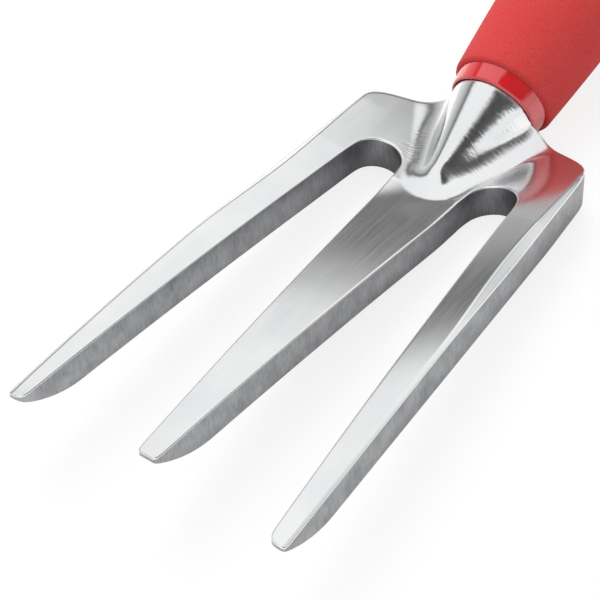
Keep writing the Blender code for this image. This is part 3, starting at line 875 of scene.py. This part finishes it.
def cap_mesh():
    """End cap in the handle's frame: spigot, flange and the tab with its hole, joined into one solid."""
    face = COLLAR_LENGTH + GRIP_LENGTH + FIT
    back = face + CAP_FLANGE
    profile = [(0.0, back)]
    profile += reversed(arc(CAP_RADIUS - CAP_ROUND, back - CAP_ROUND, CAP_ROUND, 0, 90))
    profile += [(CAP_RADIUS, face), (SPIGOT_RADIUS, face)]
    profile += [(SPIGOT_RADIUS, face - SPIGOT_LENGTH), (0.0, face - SPIGOT_LENGTH)]
    hole = [
        (0.0, TAB_THICKNESS),
        (HANG_HOLE_RADIUS, TAB_THICKNESS),
        (HANG_HOLE_RADIUS, -TAB_THICKNESS),
        (0.0, -TAB_THICKNESS),
    ]
    flat = Matrix.Rotation(math.pi / 2, 4, "X")
    made = []
    for name, mesh, place in (
        ("cap_body", turned_mesh("cap_body", profile), Matrix.Identity(4)),
        ("cap_tab", tab_mesh(), Matrix.Translation((0, 0, back)) @ flat),
        ("cap_hole", turned_mesh("cap_hole", hole), Matrix.Translation((0, 0, back + TAB_REACH)) @ flat),
    ):
        mesh.transform(place)
        made.append(linked(name, mesh))
    for other, operation in ((made[1], "UNION"), (made[2], "DIFFERENCE")):
        cut = made[0].modifiers.new(operation.lower(), "BOOLEAN")
        cut.solver = "EXACT"
        cut.operation = operation
        cut.object = other
    graph = bpy.context.evaluated_depsgraph_get()
    mesh = bpy.data.meshes.new_from_object(made[0].evaluated_get(graph))
    for item in made:
        bpy.data.objects.remove(item, do_unlink=True)
    mesh.shade_smooth()
    mesh.set_sharp_from_angle(angle=SHARP_ANGLE)
    return mesh


def tang_mesh():
    """Round tang behind the neck, with a rounded end."""
    start = SOCKET_DEPTH - FIT
    end = SOCKET_DEPTH + TANG_LENGTH
    profile = [(0.0, end)]
    profile += reversed(arc(TANG_RADIUS - TANG_ROUND, end - TANG_ROUND, TANG_ROUND, 0, 90))
    profile += [(TANG_RADIUS, start), (0.0, start)]
    return turned_mesh("tang_rod", profile)


# Materials

def new_material(name):
    material = bpy.data.materials.new(name)
    material.use_nodes = True
    tree = material.node_tree
    tree.nodes.clear()
    return material, tree


def add(tree, kind, settings=None, **wires):
    """Adds a node. Each wire is a value for that input or the output that feeds it."""
    item = tree.nodes.new("ShaderNode" + kind)
    for name, value in (settings or {}).items():
        setattr(item, name, value)
    for name, value in wires.items():
        socket = item.inputs[name.replace("_", " ")]
        if isinstance(value, bpy.types.NodeSocket):
            tree.links.new(value, socket)
        else:
            socket.default_value = value
    return item


def join(tree, kind, first, second, **wires):
    """A node with two inputs of the same kind, fed in order after its named inputs."""
    item = add(tree, kind, **wires)
    for socket, source in zip(item.inputs[len(wires):], (first, second)):
        tree.links.new(source, socket)
    return item.outputs[0]


def combine(tree, operation, first, second):
    item = add(tree, "Math", {"operation": operation})
    tree.links.new(first, item.inputs[0])
    tree.links.new(second, item.inputs[1])
    return item.outputs[0]


def finish_surface(tree, **wires):
    surface = add(tree, "BsdfPrincipled", **wires)
    add(tree, "OutputMaterial", Surface=surface.outputs[0])


def grain(tree, counts, detail=3.0, roughness=0.5):
    """Noise with a number of grains per metre along each axis of the head's own frame."""
    place = add(tree, "TexCoord")
    stretch = add(
        tree,
        "Mapping",
        {"vector_type": "TEXTURE"},
        Vector=place.outputs["Object"],
        Rotation=(-LEAN, 0.0, 0.0),
        Scale=[1 / count for count in counts],
    )
    noise = add(
        tree, "TexNoise", Vector=stretch.outputs[0], Scale=1.0, Detail=detail, Roughness=roughness
    )
    return noise.outputs[0]


def ramp(tree, factor, *stops):
    """Colour ramp from (position, colour) stops."""
    item = add(tree, "ValToRGB", Fac=factor)
    elements = item.color_ramp.elements
    while len(elements) < len(stops):
        elements.new(0.5)
    for element, (position, colour) in zip(elements, stops):
        element.position = position
        element.color = (*colour, 1.0)
    return item.outputs[0]


def grey_ramp(tree, factor, stops):
    """Colour ramp from (position, brightness) stops."""
    return ramp(tree, factor, *[(position, (tone, tone, tone)) for position, tone in stops])


def span(tree, value, low, high, first, last):
    """Number that goes from first to last while a value goes from low to high."""
    item = add(
        tree, "MapRange", Value=value, From_Min=low, From_Max=high, To_Min=first, To_Max=last
    )
    return item.outputs[0]


def mixed_tones(tree, factor, tones, ends=GRAIN_ENDS):
    """Colour that a grain mixes from two tones."""
    return ramp(tree, factor, *zip(ends, tones))


def mixed_values(tree, factor, values, ends=GRAIN_ENDS):
    """Number that a grain mixes from two values."""
    return span(tree, factor, *ends, *values)


def bump(tree, height, distance, strength=1.0, normal=None):
    item = add(tree, "Bump", Height=height, Distance=distance, Strength=strength)
    if normal is not None:
        tree.links.new(normal, item.inputs["Normal"])
    return item.outputs[0]


def on_neck(tree):
    """1 on the neck, fading to 0 on the web in front of its nose and beside it."""
    place = add(tree, "TexCoord")
    split = add(tree, "SeparateXYZ", Vector=place.outputs["Object"])
    foot = (HEAD_MATRIX @ Vector((0.0, NOSE_REACH, 0.0))).y
    beyond = span(tree, split.outputs["Y"], foot - SCRATCH_FADE, foot + SCRATCH_FADE, 0.0, 1.0)
    aside = add(tree, "Math", {"operation": "ABSOLUTE"})
    tree.links.new(split.outputs["X"], aside.inputs[0])
    beside = span(tree, aside.outputs[0], NECK_RADIUS, NECK_RADIUS + SCRATCH_FADE, 1.0, 0.0)
    return combine(tree, "MULTIPLY", beyond, beside)


def polished_metal():
    """Polished casting: bright and slightly wavy, with lines along the tines and scratches on the neck."""
    material, tree = new_material("polished_casting")
    lines = grain(tree, POLISH_LINES, detail=4.0, roughness=0.6)
    patches = grain(tree, POLISH_PATCHES, detail=2.0)
    waves = grain(tree, POLISH_WAVES, detail=1.0)
    scratches = grain(tree, NECK_SCRATCHES, detail=3.0, roughness=0.6)
    colour = mixed_tones(tree, patches, POLISHED_TONES)
    shine = mixed_values(tree, lines, POLISHED_ROUGHNESS)
    normal = bump(tree, waves, WAVE_DEPTH, 0.5)
    normal = bump(tree, lines, LINE_DEPTH, 0.5, normal)
    normal = bump(tree, combine(tree, "MULTIPLY", scratches, on_neck(tree)), SCRATCH_DEPTH, 0.5, normal)
    metal = {"Base_Color": colour, "Metallic": 1.0, "Normal": normal}
    clear = add(tree, "BsdfPrincipled", Roughness=shine, **metal)
    haze = add(tree, "BsdfPrincipled", Roughness=HAZE_ROUGHNESS, **metal)
    surface = join(tree, "MixShader", clear.outputs[0], haze.outputs[0], Fac=HAZE_SHARE)
    add(tree, "OutputMaterial", Surface=surface)
    return material


def ground_metal():
    """Ground walls and underside: duller, with shade painted into their colour in recesses, and grinding
    lines across the edge.
    """
    material, tree = new_material("ground_casting")
    lines = grain(tree, GRIND_LINES, detail=4.0, roughness=0.65)
    patches = grain(tree, GRIND_PATCHES, detail=4.0, roughness=0.6)
    mottled = combine(
        tree,
        "ADD",
        span(tree, patches, 0.0, 1.0, 0.0, GROUND_PATCH_SHARE),
        span(tree, lines, 0.0, 1.0, 0.0, 1 - GROUND_PATCH_SHARE),
    )
    # Painted shade: ambient occlusion darkens the colour in recesses, such as between the tines near their
    # roots
    painted_shade_occlusion = add(tree, "AmbientOcclusion", {"samples": PAINTED_SHADE_SAMPLES}, Distance=PAINTED_SHADE_REACH)
    painted_shade = mixed_values(tree, painted_shade_occlusion.outputs["AO"], PAINTED_RECESS_SHADE, PAINTED_SHADE_ENDS)
    tone = combine(tree, "MULTIPLY", mottled, painted_shade)
    colour = mixed_tones(tree, tone, GROUND_TONES, GROUND_ENDS)
    shine = mixed_values(tree, patches, GROUND_ROUGHNESS)
    normal = bump(tree, lines, GRIND_DEPTH, 0.5)
    finish_surface(tree, Base_Color=colour, Metallic=1.0, Roughness=shine, Normal=normal)
    return material


def gloss_plastic():
    """Gloss red moulding under a clear gloss, with a faint peel."""
    material, tree = new_material("gloss_red")
    cloud = grain(tree, GLOSS_CLOUD, detail=2.0)
    peel = grain(tree, GLOSS_PEEL, detail=1.0)
    finish_surface(
        tree,
        Base_Color=mixed_tones(tree, cloud, GLOSS_TONES),
        Roughness=mixed_values(tree, cloud, GLOSS_ROUGHNESS),
        Normal=bump(tree, peel, PEEL_DEPTH, 0.2),
        Specular_IOR_Level=1.0,
        Coat_Weight=0.6,
        Coat_Roughness=0.04,
        Coat_IOR=1.6,
    )
    return material


def foam():
    """Dense red foam: matte, with a fine grain of skin and pores."""
    material, tree = new_material("red_foam")
    skin = grain(tree, FOAM_SKIN, detail=3.0, roughness=0.6)
    cloud = grain(tree, FOAM_CLOUD, detail=3.0)
    finish_surface(
        tree,
        Base_Color=mixed_tones(tree, skin, FOAM_TONES),
        Roughness=mixed_values(tree, cloud, FOAM_ROUGHNESS),
        Normal=bump(tree, skin, SKIN_DEPTH, 0.7),
        Specular_IOR_Level=0.35,
    )
    return material


def steel():
    """Drawn steel of the pin, with lines along it."""
    material, tree = new_material("pin_steel")
    lines = grain(tree, PIN_LINES, detail=3.0)
    colour = mixed_tones(tree, lines, STEEL_TONES)
    shine = mixed_values(tree, lines, STEEL_ROUGHNESS)
    finish_surface(tree, Base_Color=colour, Metallic=1.0, Roughness=shine)
    return material


# Dressing the frame

def dress(name, mesh, materials, node, place):
    """Puts a finished mesh in its place, as a piece that stands for one node of the frame."""
    mesh.transform(place)
    for material in materials:
        mesh.materials.append(material)
    item = linked(name, mesh)
    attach(item, "root")
    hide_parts(node)
    return item


red = gloss_plastic()
ground = ground_metal()
dress("cast_head", head_mesh(), (polished_metal(), ground), "fork_head", HEAD_MATRIX)
dress("tang_rod", tang_mesh(), (ground,), "fork_head", HANDLE_MATRIX)
core = dress("collar_core", core_mesh(), (red,), "handle_core", HANDLE_MATRIX)
core.data.set_sharp_from_angle(angle=SHARP_ANGLE)
grip = dress("foam_sleeve", grip_mesh(), (foam(),), "foam_grip", HANDLE_MATRIX)
grip.data.set_sharp_from_angle(angle=SHARP_ANGLE)
dress("rear_cap", cap_mesh(), (red,), "end_cap", HANDLE_MATRIX)
pin = frame["nodes"]["tang_pin"]
pin.data.materials.clear()
pin.data.materials.append(steel())


# Stage: floor, light and camera

def ray_kinds(tree):
    """Whether a ray comes from the camera, and whether from a mirroring surface or through glass."""
    rays = add(tree, "LightPath").outputs
    mirrored = combine(tree, "MAXIMUM", rays["Is Glossy Ray"], rays["Is Transmission Ray"])
    return rays["Is Camera Ray"], mirrored


def glowing_floor(tree, matte_share):
    """Pale floor of which one share shows the object's shadow and the rest glows white."""
    speck = grain(tree, FLOOR_SPECKS, detail=2.0)
    greys = [[share * matte_share] * 3 for share in (FLOOR_SPECK_SHARE, 1.0)]
    matte = add(tree, "BsdfDiffuse", Color=mixed_tones(tree, speck, greys))
    glow = add(tree, "Emission", Color=WHITE, Strength=1 - matte_share)
    return join(tree, "AddShader", matte.outputs[0], glow.outputs[0])


def floor_material():
    """White to the camera and in reflections, which show more shadow. It lights the object plainly."""
    material, tree = new_material("studio_floor")
    seen, mirrored = ray_kinds(tree)
    plain = add(tree, "BsdfDiffuse", Color=(FLOOR_PLAIN, FLOOR_PLAIN, FLOOR_PLAIN, 1.0))
    reflected = glowing_floor(tree, FLOOR_MIRRORED_MATTE)
    surface = join(tree, "MixShader", plain.outputs[0], reflected, Fac=mirrored)
    surface = join(tree, "MixShader", surface, glowing_floor(tree, FLOOR_SEEN_MATTE), Fac=seen)
    add(tree, "OutputMaterial", Surface=surface)
    return material


def studio_floor():
    mesh = bpy.data.meshes.new("floor")
    corners = [(x * FLOOR_HALF, y * FLOOR_HALF, 0) for x, y in ((-1, -1), (1, -1), (1, 1), (-1, 1))]
    mesh.from_pydata(corners, [], [(0, 1, 2, 3)])
    mesh.materials.append(floor_material())
    return linked("floor", mesh)


def around(azimuth, elevation, distance):
    """A place round the object, by angles in degrees. Azimuth 0 is behind it and 90 is on its right."""
    turn = math.radians(azimuth)
    lift = math.radians(elevation)
    flat = distance * math.cos(lift)
    return Vector((flat * math.sin(turn), flat * math.cos(turn), distance * math.sin(lift)))


def card_material(name, along, stops):
    """A card that glows by its stops along U or V (the X or Y output) and fades out at its borders."""
    material, tree = new_material(name)
    place = add(tree, "TexCoord")
    split = add(tree, "SeparateXYZ", Vector=place.outputs["UV"])
    glow = add(tree, "Emission", Color=grey_ramp(tree, split.outputs[along], stops), Strength=1.0)
    clear = add(tree, "BsdfTransparent")
    fade = ((0.0, 0.0), (CARD_FADE, 1.0), (1 - CARD_FADE, 1.0), (1.0, 0.0))
    across = grey_ramp(tree, split.outputs["X"], fade)
    upwards = grey_ramp(tree, split.outputs["Y"], fade)
    shown = combine(tree, "MULTIPLY", across, upwards)
    surface = join(tree, "MixShader", clear.outputs[0], glow.outputs[0], Fac=shown)
    add(tree, "OutputMaterial", Surface=surface)
    return material


def card(name, azimuths, elevations, along, stops, lift=0.0, slant=0.0):
    """A curved card for reflections. Its upper border can lift in a curve and its lower border slant."""
    build = bmesh.new()
    layer = build.loops.layers.uv.new("UV")
    grid = []
    for row in range(CARD_STEPS + 1):
        line = []
        for column in range(CARD_STEPS + 1):
            azimuth = blend(*azimuths, column / CARD_STEPS)
            low = elevations[0] + slant * (azimuth - azimuths[0])
            high = elevations[1] + lift * smooth_step(*CARD_LIFT_RANGE, azimuth)
            elevation = blend(low, high, row / CARD_STEPS)
            line.append(build.verts.new(around(azimuth, elevation, CARD_DISTANCE)))
        grid.append(line)
    for row in range(CARD_STEPS):
        for column in range(CARD_STEPS):
            corners = ((row, column), (row, column + 1), (row + 1, column + 1), (row + 1, column))
            face = build.faces.new([grid[level][place] for level, place in corners])
            for loop, (level, place) in zip(face.loops, corners):
                loop[layer].uv = (place / CARD_STEPS, level / CARD_STEPS)
    mesh = finished(build, name)
    mesh.materials.append(card_material(name, along, stops))
    item = linked(name, mesh)
    item.matrix_world = HEAD_MATRIX
    item.visible_camera = False
    item.visible_diffuse = False
    item.visible_shadow = False
    return item


def key_lamp():
    """Soft lamp from the upper left, which reflections don't show."""
    data = bpy.data.lights.new("key_lamp", "AREA")
    data.size = KEY_SIZE
    data.energy = KEY_POWER
    item = linked("key_lamp", data)
    spot = around(KEY_AZIMUTH, KEY_ELEVATION, KEY_DISTANCE)
    aimed = spot.to_track_quat("Z", "Y").to_matrix().to_4x4()
    item.matrix_world = HEAD_MATRIX @ Matrix.Translation(spot) @ aimed
    item.visible_glossy = False


def studio_world():
    """White to the camera and in reflections. It lights the object plainly."""
    world = bpy.data.worlds.new("studio")
    world.use_nodes = True
    tree = world.node_tree
    tree.nodes.clear()
    seen, mirrored = ray_kinds(tree)
    soft = add(tree, "Background", Color=WHITE, Strength=SKY_LIGHT)
    white = add(tree, "Background", Color=WHITE, Strength=1.0)
    shown = combine(tree, "MAXIMUM", seen, mirrored)
    surface = join(tree, "MixShader", soft.outputs[0], white.outputs[0], Fac=shown)
    add(tree, "OutputWorld", Surface=surface)
    return world


def photo_camera():
    """Camera at the photograph's viewing angle, rolled about its view."""
    data = bpy.data.cameras.new("camera")
    data.lens = CAMERA_LENS
    data.sensor_width = CAMERA_SENSOR
    data.clip_start = CAMERA_NEAR
    item = linked("camera", data)
    away = (CAMERA_PLACE - CAMERA_AIM).normalized()
    level = Vector((0.0, 0.0, 1.0)).cross(away).normalized()
    upright = away.cross(level)
    right = math.cos(CAMERA_ROLL) * level + math.sin(CAMERA_ROLL) * upright
    up = away.cross(right)
    turn = Matrix((right, up, away)).transposed().to_4x4()
    item.matrix_world = HEAD_MATRIX @ Matrix.Translation(CAMERA_PLACE) @ turn
    return item


studio_floor()
card("band_card", BAND_AZIMUTHS, BAND_ELEVATIONS, "Y", BAND_TONES, lift=BAND_LIFT)
card("right_card", RIGHT_AZIMUTHS, RIGHT_ELEVATIONS, "X", RIGHT_TONES, slant=RIGHT_SLANT)
key_lamp()
bpy.context.scene.world = studio_world()
bpy.context.scene.camera = photo_camera()
bpy.context.scene.view_settings.view_transform = "Standard"
